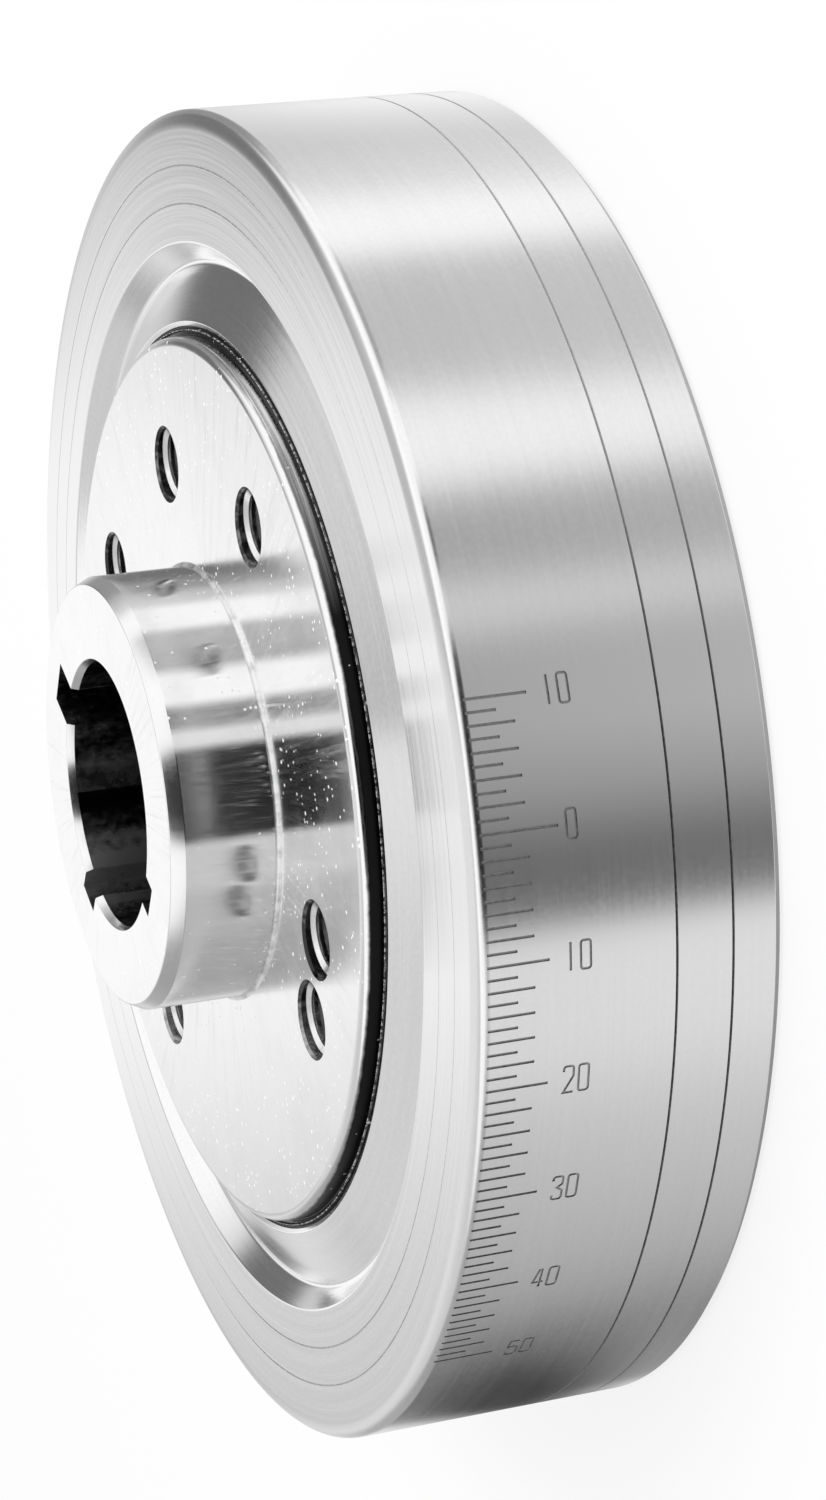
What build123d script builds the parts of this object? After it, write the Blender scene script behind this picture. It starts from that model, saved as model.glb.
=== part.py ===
from build123d import *
import os

# Harmonic balancer for a V8 crankshaft, millimetres.
# A hub keyed to the crank nose carries a heavy ring through a thin bonded rubber ring.
# It lies on the flat back of the heavy ring (z = 0) with the boss upwards; Z is the shaft axis.

# ---- Heavy ring ----
ring_outer_d = 175.0
ring_bore_d = 119.6
ring_width = 38.1
back_chamfer = 1.0
# The front edge is broken by a wide, shallow land.
front_land = 1.8
front_land_drop = 0.6

# Dished channel turned into the front face, between the flat and the rubber.
channel_outer_r = 70.5
channel_root_r = 67.9
channel_root_width = 0.8
channel_root_depth = 2.6
lip_r = 60.4
lip_height = 0.5
lip_chamfer = 0.25

# Fine turned V-lines, on the rim and on the face.
rim_line_z = (6.4, 13.5)
rim_line_width = 0.45
rim_line_depth = 0.3
face_line_r = (75.5, 80.4)
face_line_width = 0.3
face_line_depth = 0.2

# Timing scale cut into the rim beside the front face: one mark a degree.
scale_zero_angle = -3.9
degrees_after_zero = 10
degrees_before_zero = 50
mark_start = 1.2
mark_width = 0.32
mark_depth = 0.22
odd_mark = 3.7
even_mark = 5.8
ten_mark = 7.6
zero_mark = 9.5

# ---- Rubber ring ----
# Its front face stands proud in a narrow crest against the hub and falls away to the heavy ring.
rubber_inner_d = 117.0
rubber_bottom = 2.4
rubber_top = 38.1
rubber_crest = 38.9
rubber_crest_width = 0.4

# ---- Hub ----
disc_top = 41.0
disc_edge_break = 0.6
web_bottom = 25.0
hub_bottom = 1.0
rim_wall = 8.0
rim_bottom = 1.5
rim_chamfer = 0.8
recess_corner = 1.5
boss_d = 57.15
boss_top = 55.1
boss_lead = 1.8
boss_lead_in = 0.9
boss_root = 0.5

# Crank bore with a steep lead-in at both ends.
bore_d = 34.925
bore_lead = 1.0
bore_lead_in = 0.45

# Keyways run the whole length; each floor is given by its distance from the axis.
wide_keyway_angle = 138.0
wide_keyway_width = 6.35
wide_keyway_floor = 22.8
narrow_keyway_angles = (-42.5, 224.0)
narrow_keyway_width = 4.76
narrow_keyway_floor = 20.4

# Pulley screw holes for 3/8 in screws, drawn at the thread's outer size.
screw_hole_d = 9.525
screw_hole_chamfer = 0.35
four_hole_circle_d = 87.4
four_hole_angle = 47.2
three_hole_circle_d = 84.4
three_hole_angle = 92.6

ring_r = ring_outer_d / 2
ring_bore_r = ring_bore_d / 2
rubber_inner_r = rubber_inner_d / 2
boss_r = boss_d / 2
bore_r = bore_d / 2
rim_inner_r = rubber_inner_r - rim_wall
front = ring_width

os.makedirs("parts", exist_ok=True)


# ---------------------------------------------------------------- heavy ring
with BuildPart() as inertia_ring:
    with BuildSketch(Plane.XZ):
        with BuildLine():
            # Channel: down the outer wall, across the narrow root, up the long slope to the lip.
            # Then down the bore, round the back and up the rim to the front land.
            Polyline(
                (channel_outer_r, front),
                (channel_root_r + channel_root_width / 2, front - channel_root_depth),
                (channel_root_r - channel_root_width / 2, front - channel_root_depth),
                (lip_r, front + lip_height),
                (ring_bore_r, front + lip_height - lip_chamfer),
                (ring_bore_r, back_chamfer),
                (ring_bore_r + back_chamfer, 0),
                (ring_r - back_chamfer, 0),
                (ring_r, back_chamfer),
                (ring_r, front - front_land_drop),
                (ring_r - front_land, front),
                close=True,
            )
        make_face()
    revolve(axis=Axis.Z)

    # V-lines around the rim.
    with BuildSketch(Plane.XZ):
        for z in rim_line_z:
            with BuildLine():
                Polyline(
                    (ring_r + 0.5, z - rim_line_width),
                    (ring_r, z - rim_line_width / 2),
                    (ring_r - rim_line_depth, z),
                    (ring_r, z + rim_line_width / 2),
                    (ring_r + 0.5, z + rim_line_width),
                    close=True,
                )
            make_face()
    revolve(axis=Axis.Z, mode=Mode.SUBTRACT)

    # V-lines around the front face.
    with BuildSketch(Plane.XZ):
        for r in face_line_r:
            with BuildLine():
                Polyline(
                    (r - face_line_width, front + 0.3),
                    (r, front - face_line_depth),
                    (r + face_line_width, front + 0.3),
                    close=True,
                )
            make_face()
    revolve(axis=Axis.Z, mode=Mode.SUBTRACT)

    # Degree marks, cut square into the rim: longer on even degrees, on tens and on the zero.
    for degree in range(-degrees_before_zero, degrees_after_zero + 1):
        mark = odd_mark
        if degree % 2 == 0:
            mark = even_mark
        if degree % 10 == 0:
            mark = ten_mark
        if degree == 0:
            mark = zero_mark
        with PolarLocations(ring_r, 1, start_angle=scale_zero_angle + degree):
            with Locations((0, 0, front - mark_start - mark / 2)):
                Box(2 * mark_depth, mark_width, mark, mode=Mode.SUBTRACT)

# ---------------------------------------------------------------- rubber ring
with BuildPart() as rubber_ring:
    with BuildSketch(Plane.XZ):
        with BuildLine():
            Polyline(
                (rubber_inner_r, rubber_bottom),
                (ring_bore_r, rubber_bottom),
                (ring_bore_r, rubber_top),
                (rubber_inner_r + rubber_crest_width, rubber_crest),
                (rubber_inner_r, rubber_crest),
                close=True,
            )
        make_face()
    revolve(axis=Axis.Z)

# ---------------------------------------------------------------- hub
with BuildPart() as hub:
    with BuildSketch(Plane.XZ):
        with BuildLine():
            # Front: the root of the boss, the disc's face and its broken edge.
            Polyline(
                (boss_r, disc_top + boss_root),
                (boss_r + boss_root, disc_top),
                (rubber_inner_r - disc_edge_break, disc_top),
                (rubber_inner_r, disc_top - disc_edge_break),
                (rubber_inner_r, rim_bottom + rim_chamfer),
            )
            # Back: end of the rim, recess under the web, sleeve for the crank seal.
            Polyline(
                (rubber_inner_r, rim_bottom + rim_chamfer),
                (rubber_inner_r - rim_chamfer, rim_bottom),
                (rim_inner_r + rim_chamfer, rim_bottom),
                (rim_inner_r, rim_bottom + rim_chamfer),
                (rim_inner_r, web_bottom - recess_corner),
                (rim_inner_r - recess_corner, web_bottom),
                (boss_r + recess_corner, web_bottom),
                (boss_r, web_bottom - recess_corner),
                (boss_r, hub_bottom + boss_lead),
                (boss_r - boss_lead_in, hub_bottom),
            )
            # Bore and front boss.
            Polyline(
                (boss_r - boss_lead_in, hub_bottom),
                (bore_r + bore_lead_in, hub_bottom),
                (bore_r, hub_bottom + bore_lead),
                (bore_r, boss_top - bore_lead),
                (bore_r + bore_lead_in, boss_top),
                (boss_r - boss_lead_in, boss_top),
                (boss_r, boss_top - boss_lead),
                (boss_r, disc_top + boss_root),
            )
        make_face()
    revolve(axis=Axis.Z)

    # Keyways, open at both ends of the bore.
    with BuildSketch(Plane.XY):
        with Locations(Location((0, 0), wide_keyway_angle)):
            Rectangle(wide_keyway_floor, wide_keyway_width, align=(Align.MIN, Align.CENTER))
        for angle in narrow_keyway_angles:
            with Locations(Location((0, 0), angle)):
                Rectangle(narrow_keyway_floor, narrow_keyway_width, align=(Align.MIN, Align.CENTER))
    extrude(amount=boss_top + 1, mode=Mode.SUBTRACT)

    # Pulley screw holes through the web: a four-hole circle and a three-hole circle.
    with Locations((0, 0, disc_top)):
        with PolarLocations(four_hole_circle_d / 2, 4, start_angle=four_hole_angle):
            CounterSinkHole(screw_hole_d / 2, screw_hole_d / 2 + screw_hole_chamfer, depth=ring_width)
        with PolarLocations(three_hole_circle_d / 2, 3, start_angle=three_hole_angle):
            CounterSinkHole(screw_hole_d / 2, screw_hole_d / 2 + screw_hole_chamfer, depth=ring_width)

inertia_ring.part.label = "inertia_ring"
rubber_ring.part.label = "rubber_ring"
hub.part.label = "hub"

export_step(inertia_ring.part, "parts/inertia_ring.step")
export_step(rubber_ring.part, "parts/rubber_ring.step")
export_step(hub.part, "parts/hub.step")
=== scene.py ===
import math

import bmesh
import bpy
from mathutils import Matrix, Vector


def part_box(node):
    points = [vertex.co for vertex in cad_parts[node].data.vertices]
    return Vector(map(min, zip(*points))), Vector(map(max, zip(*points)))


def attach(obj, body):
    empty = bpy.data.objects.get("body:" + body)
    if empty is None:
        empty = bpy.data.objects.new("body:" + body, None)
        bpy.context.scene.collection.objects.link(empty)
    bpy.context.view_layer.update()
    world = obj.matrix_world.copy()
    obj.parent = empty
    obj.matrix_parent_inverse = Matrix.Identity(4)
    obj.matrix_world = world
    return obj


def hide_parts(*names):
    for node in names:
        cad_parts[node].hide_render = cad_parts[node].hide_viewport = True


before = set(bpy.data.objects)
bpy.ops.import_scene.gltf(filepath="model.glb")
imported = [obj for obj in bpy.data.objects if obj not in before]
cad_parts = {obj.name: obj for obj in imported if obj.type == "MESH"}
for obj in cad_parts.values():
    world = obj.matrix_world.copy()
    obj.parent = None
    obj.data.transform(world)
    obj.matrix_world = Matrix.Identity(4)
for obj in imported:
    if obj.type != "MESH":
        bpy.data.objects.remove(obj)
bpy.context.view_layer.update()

# Harmonic balancer, lying on its flat back: Z is the shaft axis, the boss upwards.
# Blender works in metres; the part's outlines are written in millimetres and MM scales them.
MM = 0.001
TURN = 2 * math.pi

# ---------------------------------------------------------------- sizes in millimetres
# The outermost ones come from the frame.
hub_low, hub_high = (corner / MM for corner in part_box("hub"))
ring_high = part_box("inertia_ring")[1] / MM
rubber_low, rubber_high = (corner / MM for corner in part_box("rubber_ring"))

# Heavy ring
ring_r = ring_high.x
ring_bore_r = rubber_high.x
lip_height = 0.5
ring_front = ring_high.z - lip_height
edge_chamfer = 1.0
front_land = 1.8
front_land_drop = 0.6
rim_edge_round = 1.3
land_round = 4.5
lip_r = 60.4
channel_outer_r = 70.5
channel_root_r = 67.9
channel_root_depth = 2.8
rim_line_z = (6.4, 13.5)
rim_line_width = 0.32
rim_line_depth = 0.26
face_line_r = (75.5, 80.4)
face_line_width = 0.22
face_line_depth = 0.13

# Rubber: the bead along its face
rubber_crest_r = ring_bore_r - 0.55
crest_half_width = 0.15

# Hub
disc_r = hub_high.x
boss_r = 28.575
bore_r = 17.4625
boss_top = hub_high.z
hub_bottom = hub_low.z
rim_bottom = hub_bottom + 0.5
rim_bottom_round = 0.8
disc_top = boss_top - 14.1
web_bottom = disc_top - 16.0
recess_r = disc_r - 8.0
recess_round = 1.5
disc_edge_round = 1.2
boss_root = 0.6
boss_lead = 1.8
boss_lead_in = 0.9
boss_lead_round = 0.25
bore_lead = 1.0
bore_lead_in = 0.45
fine_round = 0.2

# Keyways: (direction in degrees, width, distance of the floor from the axis)
keyways = [(138.0, 6.35, 22.8), (-42.5, 4.76, 20.4), (224.0, 4.76, 20.4)]

# Screw holes, 3/8-16 thread: (how many, circle radius, direction of the first in degrees)
hole_circles = [(4, 43.7, 47.2), (3, 42.2, 92.6)]
hole_r = 4.7625
hole_chamfer = 0.35
thread_pitch = 25.4 / 16
thread_depth = 0.75

# Timing scale: one mark a degree, longer on even degrees, on tens and on the zero
scale_zero = -3.9
degrees_after_zero = 10
degrees_before_zero = 50
mark_start = 1.2
mark_width = 0.34
mark_depth = 0.2
odd_mark = 3.7
even_mark = 5.8
ten_mark = 7.6
zero_mark = 9.5
figure_height = 3.4
figure_width = 1.22
figure_gap = 0.66
figure_stroke = 0.3
figure_depth = 0.16
figures_middle = 12.3

# How finely round things are drawn
ROUND_STEPS = 720
HOLE_STEPS = 72
ARC_STEP = math.radians(7)
SHARP_ANGLE = math.radians(28)


# ---------------------------------------------------------------- mesh tools
def new_object(name, mesh):
    made = bpy.data.objects.new(name, mesh)
    bpy.context.scene.collection.objects.link(made)
    return made


def object_from(bm, name):
    """Makes an object of what bm holds, its faces turned outwards."""
    bmesh.ops.recalc_face_normals(bm, faces=bm.faces)
    mesh = bpy.data.meshes.new(name)
    bm.to_mesh(mesh)
    bm.free()
    return new_object(name, mesh)


def rounded(corners, closed=True):
    """An outline from (x, y, rounding) corners, each rounding drawn as an arc."""
    points = []
    count = len(corners)
    for i, (x, y, rounding) in enumerate(corners):
        here = Vector((x, y))
        if rounding == 0 or (not closed and i in (0, count - 1)):
            points.append(here)
            continue
        before = Vector(corners[i - 1][:2]) - here
        after = Vector(corners[(i + 1) % count][:2]) - here
        half = before.angle(after) / 2
        reach = rounding / math.tan(half)
        inwards = (before.normalized() + after.normalized()).normalized()
        centre = here + inwards * rounding / math.sin(half)
        start = here + before.normalized() * reach - centre
        end = here + after.normalized() * reach - centre
        sweep = start.angle_signed(end)
        steps = max(3, round(abs(sweep) / ARC_STEP))
        for k in range(steps + 1):
            turned = start.copy()
            turned.rotate(Matrix.Rotation(-sweep * k / steps, 2))
            points.append(centre + turned)
    return points


def turned_piece(name, outline, first_step=0.0):
    """Lathes a closed outline (radius, height), in millimetres, round the shaft axis."""
    bm = bmesh.new()
    rings = []
    for k in range(ROUND_STEPS):
        angle = math.radians(first_step) + TURN * k / ROUND_STEPS
        x, y = math.cos(angle) * MM, math.sin(angle) * MM
        rings.append([bm.verts.new((r * x, r * y, z * MM)) for r, z in outline])
    for k in range(ROUND_STEPS):
        here, there = rings[k - 1], rings[k]
        for i in range(len(outline)):
            bm.faces.new((here[i - 1], there[i - 1], there[i], here[i]))
    return object_from(bm, name)


def plain_mesh(piece):
    """Bakes the piece's modifiers into its mesh."""
    bpy.context.view_layer.update()
    finished = piece.evaluated_get(bpy.context.evaluated_depsgraph_get())
    baked = bpy.data.meshes.new_from_object(finished)
    piece.modifiers.clear()
    piece.data = baked


def cut(piece, cutter):
    """Takes the cutter out of the piece; the cut faces get the cutter's finish."""
    tool = piece.modifiers.new("cut", "BOOLEAN")
    tool.operation = "DIFFERENCE"
    tool.solver = "EXACT"
    tool.material_mode = "TRANSFER"
    tool.object = cutter
    plain_mesh(piece)
    bpy.data.objects.remove(cutter)


def smooth_machined(piece):
    """Smooth shading that breaks at machined edges and stays true on flats."""
    for face in piece.data.polygons:
        face.use_smooth = True
    piece.data.set_sharp_from_angle(angle=SHARP_ANGLE)
    weigh = piece.modifiers.new("weigh", "WEIGHTED_NORMAL")
    weigh.keep_sharp = True
    weigh.weight = 90
    plain_mesh(piece)


def give_finishes(piece, finishes, which):
    """Puts finishes on the piece; which(radius, height), in millimetres, names a face's finish."""
    for finish in finishes:
        piece.data.materials.append(finish)
    slots = [slot.name for slot in piece.data.materials]
    for face in piece.data.polygons:
        name = which(face.center.to_2d().length / MM, face.center.z / MM)
        face.material_index = slots.index(name)


# ---------------------------------------------------------------- node tools
def node(tree, kind, inputs=None, **settings):
    """Adds a node; inputs maps a socket's name or number to a value or to another node's output."""
    made = tree.nodes.new(kind)
    for key, value in settings.items():
        setattr(made, key, value)
    for key, value in (inputs or {}).items():
        if isinstance(value, bpy.types.NodeSocket):
            tree.links.new(value, made.inputs[key])
        else:
            made.inputs[key].default_value = value
    return made


def maths(tree, operation, *values):
    return node(tree, "ShaderNodeMath", dict(enumerate(values)), operation=operation).outputs[0]


def spread(tree, value, low, high, to_low=0.0, to_high=1.0, smooth=False):
    """Maps a value's range onto another, held at both ends."""
    kind = "SMOOTHSTEP" if smooth else "LINEAR"
    inputs = {0: value, 1: low, 2: high, 3: to_low, 4: to_high}
    return node(tree, "ShaderNodeMapRange", inputs, interpolation_type=kind).outputs[0]


def blend(tree, share, low, high):
    """Colour between low and high by share."""
    return node(tree, "ShaderNodeMix", {0: share, 6: low, 7: high}, data_type="RGBA").outputs[2]


def grey(level):
    return (level, level, level, 1)


def place_xyz(tree, x, y, z):
    return node(tree, "ShaderNodeCombineXYZ", {0: x, 1: y, 2: z}).outputs[0]


# ---------------------------------------------------------------- geometry node tools
def new_shape_tree(name, inputs):
    """A geometry node tree with named inputs (name: socket kind), and those inputs by name."""
    tree = bpy.data.node_groups.new(name, "GeometryNodeTree")
    for label, kind in inputs.items():
        tree.interface.new_socket(label, in_out="INPUT", socket_type=kind)
    tree.interface.new_socket("Geometry", in_out="OUTPUT", socket_type="NodeSocketGeometry")
    given = node(tree, "NodeGroupInput").outputs
    return tree, {label: given[label] for label in inputs}


def close_shape_tree(tree, instances, finish):
    """Ends a tree: instances made real, then given their finish."""
    real = node(tree, "GeometryNodeRealizeInstances", {0: instances}).outputs[0]
    done = node(tree, "GeometryNodeSetMaterial", {"Geometry": real, "Material": finish}).outputs[0]
    node(tree, "NodeGroupOutput", {"Geometry": done})


def shaped(name, tree, values, mesh=None):
    """Runs a geometry node tree with the given values and keeps the result as a plain mesh."""
    piece = new_object(name, mesh or bpy.data.meshes.new(name))
    maker = piece.modifiers.new("maker", "NODES")
    maker.node_group = tree
    for item in tree.interface.items_tree:
        if item.in_out == "INPUT" and item.name in values:
            maker[item.identifier] = values[item.name]
    plain_mesh(piece)
    return piece


# ---------------------------------------------------------------- finishes
def new_finish(name, metal=0.0, coarse=0.5, stretch=0.0):
    """A finish; stretch draws its highlights out across the turning lines round the axis."""
    finish = bpy.data.materials.new(name)
    finish.use_nodes = True
    tree = finish.node_tree
    tree.nodes.clear()
    inputs = {"Metallic": metal, "Roughness": coarse}
    surface = node(tree, "ShaderNodeBsdfPrincipled", inputs)
    if stretch > 0:
        round_axis = node(tree, "ShaderNodeTangent", direction_type="RADIAL", axis="Z")
        tree.links.new(round_axis.outputs[0], surface.inputs["Tangent"])
        surface.inputs["Anisotropic"].default_value = stretch
        surface.inputs["Anisotropic Rotation"].default_value = 0.25
    node(tree, "ShaderNodeOutputMaterial", {"Surface": surface.outputs[0]})
    return finish, tree, surface.inputs


def drive(tree, socket, source):
    tree.links.new(source, socket)


def roughen(tree, surface, height, depth, strength=1.0):
    """Bump from a height, its full swing depth millimetres."""
    inputs = {"Strength": strength, "Distance": depth * MM, "Height": height}
    drive(tree, surface["Normal"], node(tree, "ShaderNodeBump", inputs).outputs[0])


def length_of(tree, vector):
    return node(tree, "ShaderNodeVectorMath", {0: vector}, operation="LENGTH").outputs["Value"]


def turned_place(tree):
    """The shaded point, and its radius, height and angle round the shaft axis."""
    where = node(tree, "ShaderNodeTexCoord").outputs["Object"]
    x, y, z = node(tree, "ShaderNodeSeparateXYZ", {0: where}).outputs
    return where, length_of(tree, place_xyz(tree, x, y, 0.0)), z, maths(tree, "ARCTAN2", y, x)


def stretched(tree, x, x_scale, y, y_scale, z, z_scale):
    """A point to read a pattern at, each of its three measures scaled by itself."""
    scaled = [maths(tree, "MULTIPLY", value, scale)
              for value, scale in ((x, x_scale), (y, y_scale), (z, z_scale))]
    return place_xyz(tree, *scaled)


def noise(tree, where, scale, detail=3.0, rough=0.5):
    inputs = {"Vector": where, "Scale": scale, "Detail": detail, "Roughness": rough}
    return node(tree, "ShaderNodeTexNoise", inputs).outputs[0]


def tool_marks(tree, per_mm, along, detail=3.0):
    """Fine lines round the axis: per_mm of them across, along of them in a radian of turn."""
    _, radius, height, angle = turned_place(tree)
    across = per_mm / MM
    line_place = stretched(tree, radius, across, height, across, angle, along)
    return noise(tree, line_place, 1.0, detail, 0.6)


def dust(tree, cell_mm, biggest, share):
    """Settled specks in drifts: 1 on a speck. A share of the cells hold one each.
    biggest is a speck's reach as a part of its cell."""
    where = node(tree, "ShaderNodeTexCoord").outputs["Object"]
    cells = node(tree, "ShaderNodeTexVoronoi", {"Vector": where, "Scale": 1 / (cell_mm * MM)})
    draw, size, _ = node(tree, "ShaderNodeSeparateColor", {0: cells.outputs["Color"]}).outputs
    drift = spread(tree, noise(tree, where, 120.0, 2.0), 0.35, 0.65, -share, share)
    lies = maths(tree, "GREATER_THAN", maths(tree, "ADD", draw, drift), 1 - share)
    reach = spread(tree, size, 0.0, 1.0, biggest / 3, biggest)
    reach = maths(tree, "MULTIPLY", lies, reach)
    return maths(tree, "LESS_THAN", cells.outputs["Distance"], reach)


def dusted(tree, coarse, settled):
    """Roughness: the surface's own, and that of dust where it has settled."""
    return maths(tree, "MAXIMUM", coarse, maths(tree, "MULTIPLY", settled, 0.8))


def polished_steel(name, tone, rough, specks):
    """Polished on the lathe nearly to a mirror, and rubbed along the axis since, with dust.
    specks is the share of the dust's cells that hold a speck."""
    finish, tree, surface = new_finish(name, metal=1.0, stretch=1.0)
    where, radius, height, angle = turned_place(tree)
    smears = noise(tree, where, 160.0, 5.0, 0.65)
    lines = tool_marks(tree, 5.0, 2.0)
    rubbing_and_painted_highlight = noise(tree, stretched(tree, angle, 45.0, height, 60.0, radius, 60.0), 1.0, 4.0, 0.7)
    settled = dust(tree, 0.9, 0.3, specks)
    shade = blend(tree, spread(tree, smears, 0.35, 0.65), grey(tone - 0.04), grey(tone + 0.01))
    drive(tree, surface["Base Color"], blend(tree, settled, shade, grey(0.82)))
    drive(tree, surface["Metallic"], maths(tree, "SUBTRACT", 1.0, settled))
    worn = maths(tree, "MAXIMUM", spread(tree, rubbing_and_painted_highlight, 0.5, 0.8, 0.0, 0.1),
                 spread(tree, smears, 0.5, 0.75, 0.0, 0.05))
    coarse = maths(tree, "ADD", worn, rough)
    drive(tree, surface["Roughness"], dusted(tree, coarse, settled))
    roughen(tree, surface, lines, 0.003, 0.15)
    return finish


def fine_turned_steel(name, low, high, coarse, stretch=0.8, per_mm=7.0, depth=0.0006, waves=0.0):
    """Steel left from a fine cut on the lathe: satin, with close lines round it and a fine grain.
    depth and waves are the depths, in millimetres, of the lines and of the tool's broader waves."""
    finish, tree, surface = new_finish(name, metal=1.0, stretch=stretch)
    where = turned_place(tree)[0]
    lines = tool_marks(tree, per_mm, 2.5)
    bands = tool_marks(tree, per_mm / 9, 0.6, 2.0)
    grain = noise(tree, where, 1600.0, 2.0)
    mixed = maths(tree, "MULTIPLY_ADD", lines, 0.35, maths(tree, "MULTIPLY", bands, 0.3))
    mixed = maths(tree, "MULTIPLY_ADD", grain, 0.35, mixed)
    shade = blend(tree, spread(tree, mixed, 0.38, 0.62), grey(low), grey(high))
    drive(tree, surface["Base Color"], shade)
    rough = spread(tree, mixed, 0.35, 0.65, coarse - 0.03, coarse + 0.03)
    drive(tree, surface["Roughness"], rough)
    height = maths(tree, "MULTIPLY", lines, depth * MM)
    if waves:
        height = maths(tree, "MULTIPLY_ADD", tool_marks(tree, 0.8, 1.2, 2.0), waves * MM, height)
    # The height is in metres already, so its full swing is a metre.
    roughen(tree, surface, height, 1 / MM)
    return finish


def away_from(tree, value, middle):
    return maths(tree, "ABSOLUTE", maths(tree, "SUBTRACT", value, middle))


def wall_steel():
    """The disc's side wall: bright at its rounded edge, with painted shade that blackens it down to
    the rubber.
    """
    finish, tree, surface = new_finish("wall_steel", metal=1.0, stretch=0.6)
    where, _, height, angle = turned_place(tree)
    smears = noise(tree, where, 400.0, 4.0, 0.7)
    reach = maths(tree, "MULTIPLY_ADD", smears, 0.5 * MM, height)
    share = spread(tree, reach, (disc_top - 0.75) * MM, (disc_top - 0.25) * MM, smooth=True)
    # The painted shade lifts in rings over part of the turn, about this direction.
    shade_lifted_at = 1.15
    shade_lifted = spread(tree, away_from(tree, angle, shade_lifted_at), 0.8, 0.5)
    rings = spread(tree, tool_marks(tree, 2.0, 1.5), 0.42, 0.62, 0.25, 0.9)
    share = maths(tree, "MAXIMUM", share, maths(tree, "MULTIPLY", shade_lifted, rings))
    settled = dust(tree, 1.3, 0.2, 0.15)
    # Painted shade: the wall runs from near black by the rubber to bright steel above it and in the
    # rings.
    shade = blend(tree, share, grey(0.02), grey(0.95))
    drive(tree, surface["Base Color"], blend(tree, settled, shade, grey(0.9)))
    drive(tree, surface["Roughness"], spread(tree, share, 0.0, 1.0, 0.4, 0.12))
    roughen(tree, surface, smears, 0.02, 0.25)
    return finish


def root_steel():
    """The corner where the boss meets the disc: rough and uneven, a pale broken line."""
    finish, tree, surface = new_finish("root_steel", metal=1.0)
    uneven = noise(tree, turned_place(tree)[0], 420.0, 4.0, 0.7)
    shade = blend(tree, spread(tree, uneven, 0.3, 0.55), grey(0.55), grey(1.0))
    drive(tree, surface["Base Color"], shade)
    drive(tree, surface["Roughness"], spread(tree, uneven, 0.3, 0.7, 0.25, 0.5))
    roughen(tree, surface, uneven, 0.05, 0.5)
    return finish


def bore_steel():
    """The shaft bore: painted shade makes it near black, with painted reflections as paler strips
    along the axis.
    """
    finish, tree, surface = new_finish("bore_steel", metal=1.0, stretch=0.5)
    where, _, height, angle = turned_place(tree)
    # Painted reflections: paler strips along the axis, set by the turn round the bore.
    painted_reflection_strips = noise(tree, stretched(tree, angle, 3.0, height, 12.0, 4.0, 1.0), 1.0, 4.0, 0.6)
    grain = noise(tree, where, 900.0, 3.0)
    mixed = maths(tree, "MULTIPLY_ADD", grain, 0.25, maths(tree, "MULTIPLY", painted_reflection_strips, 0.75))
    # Painted highlight: paler about one direction.
    painted_highlight_at = -2.5
    rubbing_and_painted_highlight = spread(tree, away_from(tree, angle, painted_highlight_at), 0.6, 0.1, 0.0, 0.2)
    mixed = maths(tree, "ADD", mixed, rubbing_and_painted_highlight)
    # Painted shade: the bore's colour stays near black, and is pale only in the painted strips and
    # highlight.
    shade = blend(tree, spread(tree, mixed, 0.48, 0.68), grey(0.05), grey(0.75))
    drive(tree, surface["Base Color"], shade)
    drive(tree, surface["Roughness"], spread(tree, mixed, 0.35, 0.65, 0.18, 0.3))
    roughen(tree, surface, tool_marks(tree, 4.0, 2.0), 0.005, 0.2)
    return finish


def glossy_rubber():
    """Moulded black rubber: a lumpy, wet-looking skin, with dust along its crest."""
    finish, tree, surface = new_finish("glossy_rubber")
    where, radius, _, _ = turned_place(tree)
    lumps = noise(tree, where, 650.0, 3.0)
    crumbs = noise(tree, where, 1500.0, 4.0, 0.7)
    crest = spread(tree, away_from(tree, radius, rubber_crest_r * MM), 0.12 * MM, 0.04 * MM)
    dusty = maths(tree, "MULTIPLY", crest, spread(tree, crumbs, 0.46, 0.58))
    settled = maths(tree, "MAXIMUM", dust(tree, 1.2, 0.24, 0.2), dusty)
    shade = blend(tree, spread(tree, lumps, 0.4, 0.7), grey(0.004), grey(0.012))
    drive(tree, surface["Base Color"], blend(tree, settled, shade, grey(0.55)))
    coarse = spread(tree, lumps, 0.3, 0.7, 0.12, 0.25)
    drive(tree, surface["Roughness"], dusted(tree, coarse, settled))
    surface["Specular IOR Level"].default_value = 0.4
    roughen(tree, surface, lumps, 0.06, 0.6)
    return finish


def dark_floor(name, low, high, paler_towards=None):
    """The floor of an engraved mark: dull, darkened steel.
    Where a direction is given, in radians, it is paler on that side."""
    finish, tree, surface = new_finish(name, metal=1.0)
    where, _, _, angle = turned_place(tree)
    grain = noise(tree, where, 2500.0)
    shade = blend(tree, spread(tree, grain, 0.35, 0.65), grey(low), grey(high))
    if paler_towards is not None:
        towards = maths(tree, "COSINE", maths(tree, "SUBTRACT", angle, paler_towards))
        shade = blend(tree, spread(tree, towards, -0.4, 0.2, smooth=True), shade, grey(0.75))
    drive(tree, surface["Base Color"], shade)
    drive(tree, surface["Roughness"], spread(tree, grain, 0.3, 0.7, 0.35, 0.5))
    return finish


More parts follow.
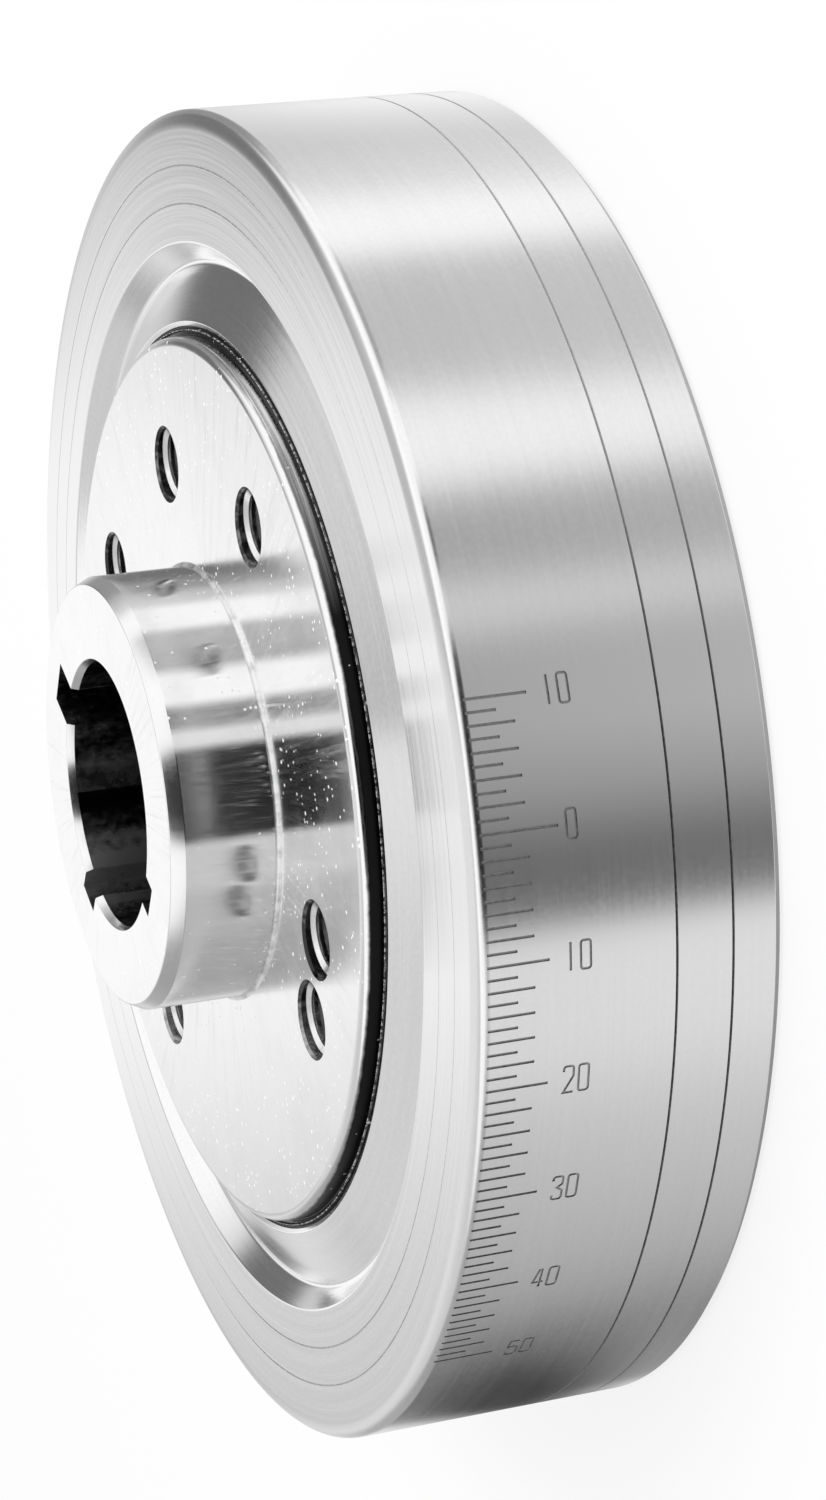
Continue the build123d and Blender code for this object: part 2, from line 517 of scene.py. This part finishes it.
DISC_POLISH = polished_steel("disc_polish", 0.98, 0.12, 0.3)
BOSS_POLISH = polished_steel("boss_polish", 0.98, 0.095, 0.12)
ROOT_STEEL = root_steel()
WALL_STEEL = wall_steel()
RIM_SATIN = fine_turned_steel("rim_satin", 0.92, 0.99, 0.23)
FACE_SATIN = fine_turned_steel("face_satin", 0.94, 1.0, 0.17, waves=0.03)
EDGE_SATIN = fine_turned_steel("edge_satin", 0.95, 1.0, 0.2, stretch=0.3)
BACK_TURNED = fine_turned_steel("back_turned", 0.5, 0.62, 0.42, per_mm=3.0, depth=0.004)
BORE_STEEL = bore_steel()
THREAD_STEEL = fine_turned_steel("thread_steel", 0.85, 0.97, 0.2, stretch=0.0)
LINE_FLOOR = dark_floor("line_floor", 0.22, 0.36, paler_towards=1.9)
MARK_FLOOR = dark_floor("mark_floor", 0.4, 0.58)
FACE_LINE_FLOOR = dark_floor("face_line_floor", 0.65, 0.85)
RUBBER = glossy_rubber()


# ---------------------------------------------------------------- timing scale
# Both parts of it are the cutters that engrave it.
def degree_marks_tree():
    """Boxes set round the rim, one a degree; their length goes by the degree."""
    sizes = ("Zero Angle", "Step", "Radius", "Top", "Width", "Depth", "Odd", "Even", "Ten", "Zero")
    inputs = {"Count": "NodeSocketInt", "Zero Index": "NodeSocketInt"}
    inputs |= dict.fromkeys(sizes, "NodeSocketFloat")
    inputs["Finish"] = "NodeSocketMaterial"
    tree, given = new_shape_tree("degree_marks", inputs)
    index = node(tree, "GeometryNodeInputIndex").outputs[0]
    degree = maths(tree, "SUBTRACT", index, given["Zero Index"])

    def longer(every, usual, special):
        """usual length, or special where the degree divides by every."""
        left_over = maths(tree, "ABSOLUTE", maths(tree, "MODULO", degree, every))
        divides = maths(tree, "LESS_THAN", left_over, 0.5)
        choice = {0: divides, 1: usual, 2: special}
        return node(tree, "GeometryNodeSwitch", choice, input_type="FLOAT").outputs[0]

    length = longer(2.0, given["Odd"], given["Even"])
    length = longer(10.0, length, given["Ten"])
    beyond_scale = 1000.0
    length = longer(beyond_scale, length, given["Zero"])
    angle = maths(tree, "MULTIPLY_ADD", degree, given["Step"], given["Zero Angle"])
    middle = maths(tree, "MULTIPLY_ADD", length, -0.5, given["Top"])
    spot = place_xyz(tree, maths(tree, "MULTIPLY", maths(tree, "COSINE", angle), given["Radius"]),
                     maths(tree, "MULTIPLY", maths(tree, "SINE", angle), given["Radius"]), middle)
    spots = node(tree, "GeometryNodePoints", {"Count": given["Count"], "Position": spot}).outputs[0]
    size = place_xyz(tree, maths(tree, "MULTIPLY", given["Depth"], 2.0), given["Width"], length)
    box = node(tree, "GeometryNodeMeshCube", {"Size": (1, 1, 1)}).outputs[0]
    marks = node(tree, "GeometryNodeInstanceOnPoints", {
        "Points": spots, "Instance": box, "Scale": size,
        "Rotation": place_xyz(tree, 0.0, 0.0, angle)}).outputs[0]
    close_shape_tree(tree, marks, given["Finish"])
    return tree


def degree_marks():
    return shaped("degree_marks", degree_marks_tree(), {
        "Count": degrees_before_zero + degrees_after_zero + 1, "Zero Index": degrees_before_zero,
        "Zero Angle": math.radians(scale_zero), "Step": math.radians(1), "Radius": ring_r * MM,
        "Top": (ring_front - mark_start) * MM, "Width": mark_width * MM, "Depth": mark_depth * MM,
        "Odd": odd_mark * MM, "Even": even_mark * MM, "Ten": ten_mark * MM, "Zero": zero_mark * MM,
        "Finish": MARK_FLOOR})


# Each figure as an engraver's strokes on a field one wide and one high.
# A stroke's points are (across, up, rounding in millimetres).
FIGURE_STROKES = {
    "0": [[(0, 0, 0.35), (0, 1, 0.35), (1, 1, 0.35), (1, 0, 0.35)]],
    "1": [[(0.5, 0, 0), (0.5, 1, 0)]],
    "2": [[(0, 0.8, 0), (0, 1, 0.35), (1, 1, 0.35), (1, 0.62, 0.35), (0, 0, 0), (1, 0, 0)]],
    "3": [[(0, 0.82, 0), (0, 1, 0.35), (1, 1, 0.35), (1, 0.66, 0.25), (0.45, 0.52, 0),
           (1, 0.38, 0.25), (1, 0, 0.35), (0, 0, 0.35), (0, 0.18, 0)]],
    "4": [[(0.75, 0, 0), (0.75, 1, 0)], [(0.5, 1, 0), (0, 0.28, 0), (0.6, 0.28, 0)],
          [(0.9, 0.28, 0), (1.1, 0.28, 0)]],
    "5": [[(1, 1, 0), (0.05, 1, 0), (0, 0.56, 0), (1, 0.6, 0.35), (1, 0, 0.35), (0, 0, 0.35),
           (0, 0.18, 0)]],
}


def engraved_stroke(bm, line, closed, angle):
    """A cut of even width along a line on the flat, wrapped on the rim at angle."""
    floor_r, above_r = ring_r - figure_depth, ring_r + 0.2
    sections = []
    for i, here in enumerate(line):
        last = closed or i > 0
        following = closed or i < len(line) - 1
        run_in = (here - line[i - 1]).normalized() if last else None
        run_out = (line[(i + 1) % len(line)] - here).normalized() if following else run_in
        run_in = run_in or run_out
        along = (run_in + run_out).normalized()
        side = Vector((-along.y, along.x)) * figure_stroke / 2 / along.dot(run_in)
        section = []
        for point, r in ((here - side, floor_r), (here + side, floor_r),
                         (here + side, above_r), (here - side, above_r)):
            turn = angle + point.y / ring_r
            height = ring_front - figures_middle - point.x
            corner = Vector((r * math.cos(turn), r * math.sin(turn), height))
            section.append(bm.verts.new(corner * MM))
        sections.append(section)
    for k in range(0 if closed else 1, len(sections)):
        here, there = sections[k - 1], sections[k]
        for i in range(4):
            bm.faces.new((here[i - 1], there[i - 1], there[i], here[i]))
    if not closed:
        bm.faces.new(sections[0])
        bm.faces.new(sections[-1])


def scale_figures():
    """The tens, read with the front face to the left; drawn flat, then wrapped on the rim."""
    bm = bmesh.new()
    for degree in range(-degrees_before_zero, degrees_after_zero + 1, 10):
        words = str(abs(degree))
        width = len(words) * figure_width + (len(words) - 1) * figure_gap
        angle = math.radians(scale_zero + degree)
        for i, figure in enumerate(words):
            corner = Vector((i * (figure_width + figure_gap) - width / 2, -figure_height / 2))
            closed = figure == "0"
            for stroke in FIGURE_STROKES[figure]:
                sized = [(x * figure_width, y * figure_height, r) for x, y, r in stroke]
                line = [corner + point for point in rounded(sized, closed)]
                engraved_stroke(bm, line, closed, angle)
    figures = object_from(bm, "scale_figures")
    figures.data.materials.append(MARK_FLOOR)
    return figures


# ---------------------------------------------------------------- heavy ring
def heavy_ring():
    outline = [
        (ring_bore_r, edge_chamfer, 0),
        (ring_bore_r + edge_chamfer, 0.0, 0),
        (ring_r - edge_chamfer, 0.0, fine_round),
        (ring_r, edge_chamfer, fine_round),
    ]
    half = rim_line_width / 2
    for z in rim_line_z:
        outline += [(ring_r, z - half, 0), (ring_r - rim_line_depth, z, 0), (ring_r, z + half, 0)]
    outline += [
        (ring_r, ring_front - front_land_drop, rim_edge_round),
        (ring_r - front_land, ring_front, land_round),
    ]
    half = face_line_width / 2
    line_bottom = ring_front - face_line_depth
    for r in reversed(face_line_r):
        outline += [(r + half, ring_front, 0), (r, line_bottom, 0), (r - half, ring_front, 0)]
    outline += [
        (channel_outer_r, ring_front, 0.5),
        (channel_root_r, ring_front - channel_root_depth, 0.8),
        (lip_r, ring_high.z, 0.25),
        (ring_bore_r, ring_high.z - 0.25, 0),
    ]
    # The steps begin half a step off the zero, so that no mark's wall falls on one.
    half_step = 180 / ROUND_STEPS
    ring = turned_piece("heavy_ring", rounded(outline), first_step=scale_zero + half_step)

    # The bounds only have to fall between the middles of one face and the next.
    def finish_at(r, z):
        if z < edge_chamfer - 0.1 or r < ring_bore_r + 0.1:
            return "back_turned"
        if z < ring_front - 3 and r < ring_r - rim_line_depth / 4:
            return "line_floor"
        if channel_outer_r + 1 < r < face_line_r[1] + 1 and ring_front - 1 < z < ring_front - 0.02:
            return "face_line_floor"
        if r > ring_r - 0.4:
            return "rim_satin"
        return "edge_satin" if r > channel_outer_r and z < ring_front - 0.01 else "face_satin"

    give_finishes(ring, [RIM_SATIN, FACE_SATIN, EDGE_SATIN, BACK_TURNED, LINE_FLOOR,
                         FACE_LINE_FLOOR], finish_at)
    cut(ring, degree_marks())
    cut(ring, scale_figures())
    smooth_machined(ring)
    return ring


# ---------------------------------------------------------------- rubber ring
def rubber_band():
    inner, outer = disc_r, ring_bore_r
    crest, low_edge = rubber_high.z, ring_front
    outline = rounded([
        (inner, rubber_low.z, 0),
        (outer, rubber_low.z, 0),
        (outer, low_edge, 0),
        (outer - 0.2, low_edge - 0.15, 0.1),
        (rubber_crest_r + crest_half_width, low_edge + 0.1, 0.1),
        (rubber_crest_r, crest, 0.08),
        (rubber_crest_r - crest_half_width, low_edge + 0.15, 0.1),
        (inner + 0.1, low_edge, 0.1),
        (inner, low_edge + 0.1, 0),
    ])
    band = turned_piece("rubber_band", outline)
    band.data.materials.append(RUBBER)
    smooth_machined(band)
    return band


# ---------------------------------------------------------------- hub
def pulley_holes_tree():
    """A tool repeated on the two circles of screw holes."""
    inputs = {"Tool": "NodeSocketGeometry", "Finish": "NodeSocketMaterial"}
    for i in range(len(hole_circles)):
        inputs[f"Count {i}"] = "NodeSocketInt"
        inputs[f"Radius {i}"] = "NodeSocketFloat"
        inputs[f"First {i}"] = "NodeSocketFloat"
    tree, given = new_shape_tree("pulley_holes", inputs)
    join = node(tree, "GeometryNodeJoinGeometry")
    for i in range(len(hole_circles)):
        circle = node(tree, "GeometryNodeMeshCircle", {
            "Vertices": given[f"Count {i}"], "Radius": given[f"Radius {i}"]}).outputs[0]
        turned = node(tree, "GeometryNodeTransform", {
            "Geometry": circle, "Rotation": place_xyz(tree, 0.0, 0.0, given[f"First {i}"])})
        tree.links.new(turned.outputs[0], join.inputs[0])
    tools = node(tree, "GeometryNodeInstanceOnPoints", {
        "Points": join.outputs[0], "Instance": given["Tool"]}).outputs[0]
    close_shape_tree(tree, tools, given["Finish"])
    return tree


PULLEY_HOLES = pulley_holes_tree()


def at_each_hole(name, tool, finish):
    """The tool object, made at the shaft axis, repeated at every screw hole."""
    values = {"Finish": finish}
    for i, (count, radius, first) in enumerate(hole_circles):
        values |= {f"Count {i}": count, f"Radius {i}": radius * MM,
                   f"First {i}": math.radians(first)}
    mesh = tool.data
    bpy.data.objects.remove(tool)
    return shaped(name, PULLEY_HOLES, values, mesh)


def drill():
    """A drill with its countersink, standing at the shaft axis."""
    beyond = 1
    sections = [
        (hole_r, web_bottom - 2),
        (hole_r, disc_top - hole_chamfer),
        (hole_r + hole_chamfer + beyond, disc_top + beyond),
    ]
    bm = bmesh.new()
    rings = []
    for r, z in sections:
        turns = (TURN * k / HOLE_STEPS for k in range(HOLE_STEPS))
        rings.append([bm.verts.new((r * MM * math.cos(turn), r * MM * math.sin(turn), z * MM))
                      for turn in turns])
    for low, high in zip(rings, rings[1:]):
        for k in range(HOLE_STEPS):
            bm.faces.new((low[k - 1], low[k], high[k], high[k - 1]))
    bm.faces.new(rings[0])
    bm.faces.new(rings[-1])
    return object_from(bm, "drill")


def thread_tree():
    """The ridge of an internal thread: a tapered bar swept up a helix."""
    sizes = ("Turns", "Radius", "Pitch", "Depth", "Start")
    inputs = dict.fromkeys(sizes, "NodeSocketFloat") | {"Finish": "NodeSocketMaterial"}
    tree, given = new_shape_tree("thread", inputs)
    root_share, crest_share = 0.84, 0.16
    rise = maths(tree, "MULTIPLY", given["Turns"], given["Pitch"])
    helix = node(tree, "GeometryNodeCurveSpiral", {
        "Resolution": 40, "Rotations": given["Turns"], "Start Radius": given["Radius"],
        "End Radius": given["Radius"], "Height": rise}).outputs[0]
    upright = node(tree, "GeometryNodeSetCurveNormal", {0: helix}, mode="Z_UP").outputs[0]
    ridge = node(tree, "GeometryNodeCurvePrimitiveQuadrilateral", {
        "Bottom Width": maths(tree, "MULTIPLY", given["Pitch"], root_share),
        "Top Width": maths(tree, "MULTIPLY", given["Pitch"], crest_share),
        "Height": given["Depth"], "Offset": 0.0}, mode="TRAPEZOID").outputs[0]
    facing_in = node(tree, "GeometryNodeTransform", {
        "Geometry": ridge, "Rotation": (0, 0, -math.pi / 2)}).outputs[0]
    swept = node(tree, "GeometryNodeCurveToMesh", {
        "Curve": upright, "Profile Curve": facing_in, "Fill Caps": True}).outputs[0]
    lifted = node(tree, "GeometryNodeTransform", {
        "Geometry": swept, "Translation": place_xyz(tree, 0.0, 0.0, given["Start"])}).outputs[0]
    close_shape_tree(tree, lifted, given["Finish"])
    return tree


def screw_threads():
    turns = (disc_top - hole_chamfer - web_bottom) / thread_pitch - 1
    # The foot of the ridge stands this deep in the hole's wall.
    sunk = 0.1
    ridge = shaped("thread_ridge", thread_tree(), {
        "Turns": turns, "Radius": (hole_r - thread_depth / 2 + sunk) * MM,
        "Pitch": thread_pitch * MM, "Depth": thread_depth * MM,
        "Start": (web_bottom + thread_pitch / 2) * MM, "Finish": THREAD_STEEL})
    threads = at_each_hole("screw_threads", ridge, THREAD_STEEL)
    bm = bmesh.new()
    bm.from_mesh(threads.data)
    bmesh.ops.recalc_face_normals(bm, faces=bm.faces)
    bm.to_mesh(threads.data)
    bm.free()
    smooth_machined(threads)
    return threads


def keyway_broach():
    """Blocks that cut the keyways the whole length of the bore."""
    bm = bmesh.new()
    inner = bore_r * 0.6
    length = boss_top + 10
    for direction, width, floor in keyways:
        made = bmesh.ops.create_cube(bm, size=MM)["verts"]
        middle = Vector(((floor + inner) / 2, 0, boss_top / 2)) * MM
        turn = Matrix.Rotation(math.radians(direction), 3, "Z")
        bmesh.ops.scale(bm, vec=(floor - inner, width, length), verts=made)
        bmesh.ops.translate(bm, vec=middle, verts=made)
        bmesh.ops.rotate(bm, cent=(0, 0, 0), matrix=turn, verts=made)
    broach = object_from(bm, "keyway_broach")
    broach.data.materials.append(BORE_STEEL)
    return broach


def hub_body():
    # Below this the disc's wall is inside the rubber.
    hidden_below = ring_front - 0.5
    outline = rounded([
        (bore_r, hub_bottom + bore_lead, 0),
        (bore_r + bore_lead_in, hub_bottom, 0),
        (boss_r - boss_lead_in, hub_bottom, fine_round),
        (boss_r, hub_bottom + boss_lead, fine_round),
        (boss_r, web_bottom, recess_round),
        (recess_r, web_bottom, recess_round),
        (recess_r, rim_bottom, rim_bottom_round),
        (disc_r, rim_bottom, rim_bottom_round),
        (disc_r, hidden_below, 0),
        (disc_r, disc_top, disc_edge_round),
        (boss_r, disc_top, boss_root),
        (boss_r, boss_top - boss_lead, boss_lead_round),
        (boss_r - boss_lead_in, boss_top, fine_round),
        (bore_r + bore_lead_in, boss_top, 0.1),
        (bore_r, boss_top - bore_lead, 0.1),
    ])
    hub = turned_piece("hub_body", outline)

    def finish_at(r, z):
        if r < bore_r + 0.05:
            return "bore_steel"
        if z < hidden_below:
            return "back_turned"
        if r > disc_r - 0.5:
            return "wall_steel"
        if boss_r + 0.01 < r < boss_r + boss_root and z > disc_top + 0.01:
            return "root_steel"
        if r < boss_r - 0.02 and z < boss_top - 0.02:
            return "edge_satin"
        return "boss_polish" if r < boss_r + 0.2 else "disc_polish"

    give_finishes(hub, [BOSS_POLISH, DISC_POLISH, EDGE_SATIN, ROOT_STEEL, WALL_STEEL, BORE_STEEL,
                        BACK_TURNED], finish_at)
    cut(hub, keyway_broach())
    cut(hub, at_each_hole("drills", drill(), BORE_STEEL))
    smooth_machined(hub)
    return hub


ring = heavy_ring()
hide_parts("inertia_ring")
band = rubber_band()
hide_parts("rubber_ring")
hub = hub_body()
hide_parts("hub")
threads = screw_threads()
for piece in (ring, band, hub, threads):
    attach(piece, "root")


# ---------------------------------------------------------------- floor, light and surroundings
# Just under the part's back, in millimetres, so that no two faces lie in one plane
floor_z = -0.02
shade_z = -0.01
card_z = -0.005


def flat_oval(name, half_length, half_width):
    """A flat oval, its half sizes in metres."""
    bm = bmesh.new()
    bmesh.ops.create_circle(bm, cap_ends=True, segments=96, radius=1)
    bmesh.ops.scale(bm, vec=(half_length, half_width, 1), verts=bm.verts)
    return object_from(bm, name)


def floor_sheet():
    """A sheet of white paper, lit so that its edge can't be told from the background."""
    half = 4.0
    mesh = bpy.data.meshes.new("floor")
    corners = [(-half, -half, 0), (half, -half, 0), (half, half, 0), (-half, half, 0)]
    mesh.from_pydata(corners, [], [(0, 1, 2, 3)])
    floor = new_object("floor", mesh)
    floor.location.z = floor_z * MM
    finish = bpy.data.materials.new("white_sweep")
    finish.use_nodes = True
    tree = finish.node_tree
    tree.nodes.clear()
    rays = node(tree, "ShaderNodeLightPath")
    paper = node(tree, "ShaderNodeBsdfDiffuse", {"Color": grey(0.8)})
    lit = node(tree, "ShaderNodeEmission", {"Color": grey(1.0), "Strength": 1.0})
    seen = maths(tree, "MULTIPLY", rays.outputs["Is Camera Ray"], 0.8)
    mixed = node(tree, "ShaderNodeMixShader", {0: seen, 1: paper.outputs[0], 2: lit.outputs[0]})
    node(tree, "ShaderNodeOutputMaterial", {"Surface": mixed.outputs[0]})
    floor.data.materials.append(finish)
    floor.visible_glossy = False


def underside_shade():
    """The dark under the part, which its holes and bore look into."""
    radius = (ring_r - 3) * MM
    shade = flat_oval("underside_shade", radius, radius)
    shade.location.z = shade_z * MM
    finish, _, surface = new_finish("shade", coarse=0.9)
    surface["Base Color"].default_value = grey(0.02)
    shade.data.materials.append(finish)


def black_card():
    """An oval, soft-edged black card on the floor by the rim, only for the steel to mirror."""
    from_axis, direction, turn = 123, math.radians(-98.4), math.radians(-137)
    half_length, half_width = 75 * MM, 58 * MM
    card = flat_oval("black_card", half_length, half_width)
    card.rotation_euler.z = turn
    middle = (from_axis * math.cos(direction), from_axis * math.sin(direction), card_z)
    card.location = Vector(middle) * MM
    finish, tree, surface = new_finish("black_card", coarse=0.9)
    surface["Base Color"].default_value = grey(0.01)
    where = node(tree, "ShaderNodeTexCoord").outputs["Object"]
    x, y, z = node(tree, "ShaderNodeSeparateXYZ", {0: where}).outputs
    part_way = stretched(tree, x, 1 / half_length, y, 1 / half_width, z, 0.0)
    drive(tree, surface["Alpha"], spread(tree, length_of(tree, part_way), 1.0, 0.2, smooth=True))
    card.data.materials.append(finish)
    card.visible_camera = card.visible_diffuse = False
    card.visible_shadow = card.visible_transmission = False


# What the bright steel mirrors, by direction round the part in degrees: soft white cards
# and black flags. floor_cards stand below the part's level, table_cards at it, roof_cards above.
floor_cards = [
    (-180, 1.0), (-155, 1.0), (-151, 0.35), (-130, 0.24), (-116, 0.24), (-95, 0.46), (-70, 0.62),
    (-50, 0.8), (-31, 0.84), (-26, 0.16), (-17, 0.18), (-7, 0.42), (5, 0.57), (20, 0.53),
    (26, 0.64), (31, 0.46), (44, 0.5), (51, 0.9), (59, 0.9), (66, 0.62), (92, 0.6), (98, 1.0),
    (107, 1.0), (113, 0.76), (130, 0.68), (142, 0.84), (156, 1.0),
]
table_cards = [
    (-180, 1.0), (-174, 1.0), (-170, 0.62), (-165, 0.52), (-158, 0.74), (-145, 0.42),
    (-120, 0.34), (-60, 0.36), (-50, 0.5), (-30, 0.5), (-26, 0.0), (-12, 0.0), (-6, 0.02),
    (18, 0.01), (22, 0.68), (28, 0.72), (33, 0.08), (41, 0.08), (46, 1.0), (61, 1.0), (67, 0.3),
    (89, 0.38), (94, 1.0), (109, 1.0), (114, 0.6), (122, 0.52), (130, 0.28), (156, 0.28),
    (166, 0.6), (174, 0.65), (177, 0.95),
]
roof_cards = [
    (-180, 0.75), (-160, 0.75), (-149, 0.6), (-143, 0.65), (-130, 0.6), (-95, 0.6), (-80, 1.0),
    (125, 1.0), (148, 0.65), (160, 0.5), (175, 0.45),
]
# The heights, as sines of the rise, between which one set of cards gives way to the next
floor_to_table = (-0.33, -0.23)
table_to_roof = (0.33, 0.48)
# Round black flags: direction, rise, where they begin to darken, where they are full, level
flags = [(157, 22, 18, 8, 0.15), (-4, 28, 26, 19, 0.0)]


def all_round(tree, share, cards):
    """The cards as a ring of greys, read by direction."""
    ramp = node(tree, "ShaderNodeValToRGB", {0: share})
    stops = ramp.color_ramp.elements
    stops.remove(stops[-1])
    full_circle = cards + [(180, cards[0][1])]
    for i, (degrees, level) in enumerate(full_circle):
        stop = stops[0] if i == 0 else stops.new((degrees + 180) / 360)
        stop.position = (degrees + 180) / 360
        stop.color = grey(level)
    return ramp.outputs[0]


def flag_share(tree, where, turn, rise, outer, inner):
    """How much of a direction a round flag hides: none at outer degrees off it, all at inner."""
    turn, rise, outer, inner = map(math.radians, (turn, rise, outer, inner))
    towards = (math.cos(rise) * math.cos(turn), math.cos(rise) * math.sin(turn), math.sin(rise))
    nearness = node(tree, "ShaderNodeVectorMath", {0: where, 1: towards}, operation="DOT_PRODUCT")
    return spread(tree, nearness.outputs["Value"], math.cos(outer), math.cos(inner), smooth=True)


def studio_world():
    """Plain light for matt surfaces; cards and flags for what the polished steel mirrors."""
    world = bpy.data.worlds.new("studio")
    bpy.context.scene.world = world
    world.use_nodes = True
    tree = world.node_tree
    tree.nodes.clear()
    rays = node(tree, "ShaderNodeLightPath")
    where = node(tree, "ShaderNodeTexCoord").outputs["Generated"]
    x, y, z = node(tree, "ShaderNodeSeparateXYZ", {0: where}).outputs
    share = spread(tree, maths(tree, "ARCTAN2", y, x), -math.pi, math.pi)
    low, level_with, high = (all_round(tree, share, cards)
                             for cards in (floor_cards, table_cards, roof_cards))
    mirrored = blend(tree, spread(tree, z, *floor_to_table), low, level_with)
    mirrored = blend(tree, spread(tree, z, *table_to_roof, smooth=True), mirrored, high)
    for *flag, level in flags:
        mirrored = blend(tree, flag_share(tree, where, *flag), mirrored, grey(level))
    seen = blend(tree, rays.outputs["Is Glossy Ray"], grey(0.9), mirrored)
    seen = blend(tree, rays.outputs["Is Camera Ray"], seen, grey(1.0))
    sky = node(tree, "ShaderNodeBackground", {"Color": seen, "Strength": 1.0})
    node(tree, "ShaderNodeOutputWorld", {"Surface": sky.outputs[0]})


def soft_lamp(name, place, aim, size, power):
    """A round lamp that the steel doesn't mirror; place, aim and size in metres, power in watts."""
    light = bpy.data.lights.new(name, "AREA")
    light.shape = "DISK"
    light.size = size
    light.energy = power
    lamp = new_object(name, light)
    lamp.location = place
    lamp.rotation_euler = (Vector(aim) - Vector(place)).to_track_quat("-Z", "Y").to_euler()
    lamp.visible_glossy = False


floor_sheet()
underside_shade()
black_card()
studio_world()
soft_lamp("top_lamp", place=(0.3, 0.5, 0.9), aim=(0, 0, 0), size=0.8, power=6)


# ---------------------------------------------------------------- camera
def set_camera(place, aim, up_hint, lens_mm):
    """A camera at place looking at aim, in metres; up_hint points to the top of its frame."""
    lens = bpy.data.cameras.new("camera")
    lens.sensor_fit = "VERTICAL"
    lens.sensor_height = 24
    lens.lens = lens_mm
    lens.clip_start = 0.01
    back = (Vector(place) - Vector(aim)).normalized()
    right = Vector(up_hint).cross(back).normalized()
    camera = new_object("camera", lens)
    axes = Matrix((right, back.cross(right), back)).transposed().to_4x4()
    camera.matrix_world = Matrix.Translation(place) @ axes
    bpy.context.scene.camera = camera


set_camera(place=(0.4903, 0.0224, 0.1897), aim=(0.0019, 0.0007, 0.0126),
           up_hint=(0, 0.99256, -0.12173), lens_mm=62.1)
bpy.context.scene.view_settings.view_transform = "Standard"

bpy.context.view_layer.update()
